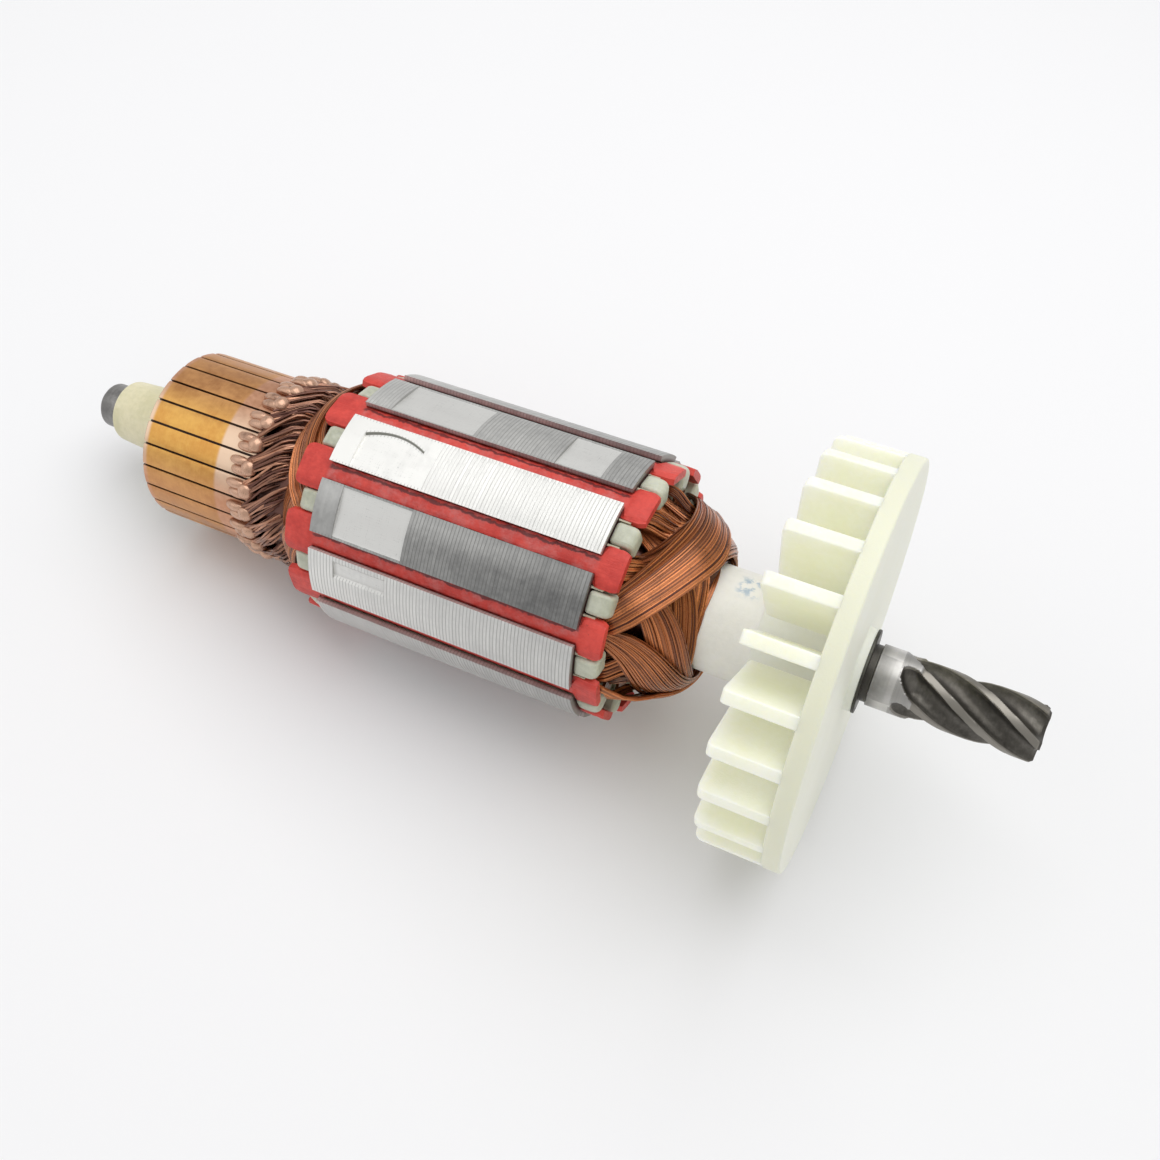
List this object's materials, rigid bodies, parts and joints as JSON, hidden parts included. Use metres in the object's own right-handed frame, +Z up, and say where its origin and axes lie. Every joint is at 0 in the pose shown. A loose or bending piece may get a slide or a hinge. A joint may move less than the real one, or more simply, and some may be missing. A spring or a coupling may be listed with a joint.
{
  "type": "motor armature",
  "caption": "Wound rotor of a universal motor: shaft with commutator, slotted lamination stack, copper coils, radial fan and helical pinion.",
  "frame": {"origin": "centre of the footprint on the floor under the armature as it lies, touching at the rim of the fan and the commutator end of the stack", "axes": "+X from the commutator to the pinion along the floor, +Z up, the shaft rises 8.5 degrees towards the pinion"},
  "size_m": [0.146, 0.0562, 0.0571],
  "materials": {
    "shaft_steel": "ground steel, darker on the cut pinion",
    "collar_plastic": "pale cream-green moulding",
    "sleeve_plastic": "off-white moulding",
    "moulding_resin": "dark brown phenolic between the bars",
    "bar_copper": "worn copper bars",
    "core_steel": "edges of stacked sheets",
    "insulator_plastic": "pale grey-green moulding",
    "liner_fibre": "thin insulating sheet",
    "wedge_fibre": "red fibre strip",
    "winding_copper": "varnished copper wire",
    "fan_nylon": "pale yellow-green nylon",
    "washer_steel": "dark steel"
  },
  "bodies": {
    "root": {"shaft": "shaft_steel", "rear_collar": "collar_plastic", "shaft_insulation": "sleeve_plastic", "commutator_moulding": "moulding_resin", "commutator_bar_01": "bar_copper", "commutator_bar_02": "bar_copper", "commutator_bar_03": "bar_copper", "commutator_bar_04": "bar_copper", "commutator_bar_05": "bar_copper", "commutator_bar_06": "bar_copper", "commutator_bar_07": "bar_copper", "commutator_bar_08": "bar_copper", "commutator_bar_09": "bar_copper", "commutator_bar_10": "bar_copper", "commutator_bar_11": "bar_copper", "commutator_bar_12": "bar_copper", "commutator_bar_13": "bar_copper", "commutator_bar_14": "bar_copper", "commutator_bar_15": "bar_copper", "commutator_bar_16": "bar_copper", "commutator_bar_17": "bar_copper", "commutator_bar_18": "bar_copper", "commutator_bar_19": "bar_copper", "commutator_bar_20": "bar_copper", "commutator_bar_21": "bar_copper", "commutator_bar_22": "bar_copper", "commutator_bar_23": "bar_copper", "commutator_bar_24": "bar_copper", "core": "core_steel", "end_insulator_rear": "insulator_plastic", "end_insulator_front": "insulator_plastic", "slot_liners": "liner_fibre", "slot_wedge_01": "wedge_fibre", "slot_wedge_02": "wedge_fibre", "slot_wedge_03": "wedge_fibre", "slot_wedge_04": "wedge_fibre", "slot_wedge_05": "wedge_fibre", "slot_wedge_06": "wedge_fibre", "slot_wedge_07": "wedge_fibre", "slot_wedge_08": "wedge_fibre", "slot_wedge_09": "wedge_fibre", "slot_wedge_10": "wedge_fibre", "slot_wedge_11": "wedge_fibre", "slot_wedge_12": "wedge_fibre", "coil_01": "winding_copper", "coil_02": "winding_copper", "coil_03": "winding_copper", "coil_04": "winding_copper", "coil_05": "winding_copper", "coil_06": "winding_copper", "coil_07": "winding_copper", "coil_08": "winding_copper", "coil_09": "winding_copper", "coil_10": "winding_copper", "coil_11": "winding_copper", "coil_12": "winding_copper", "lead_wires": "winding_copper", "fan": "fan_nylon", "washer": "washer_steel"}
  },
  "joints": []
}
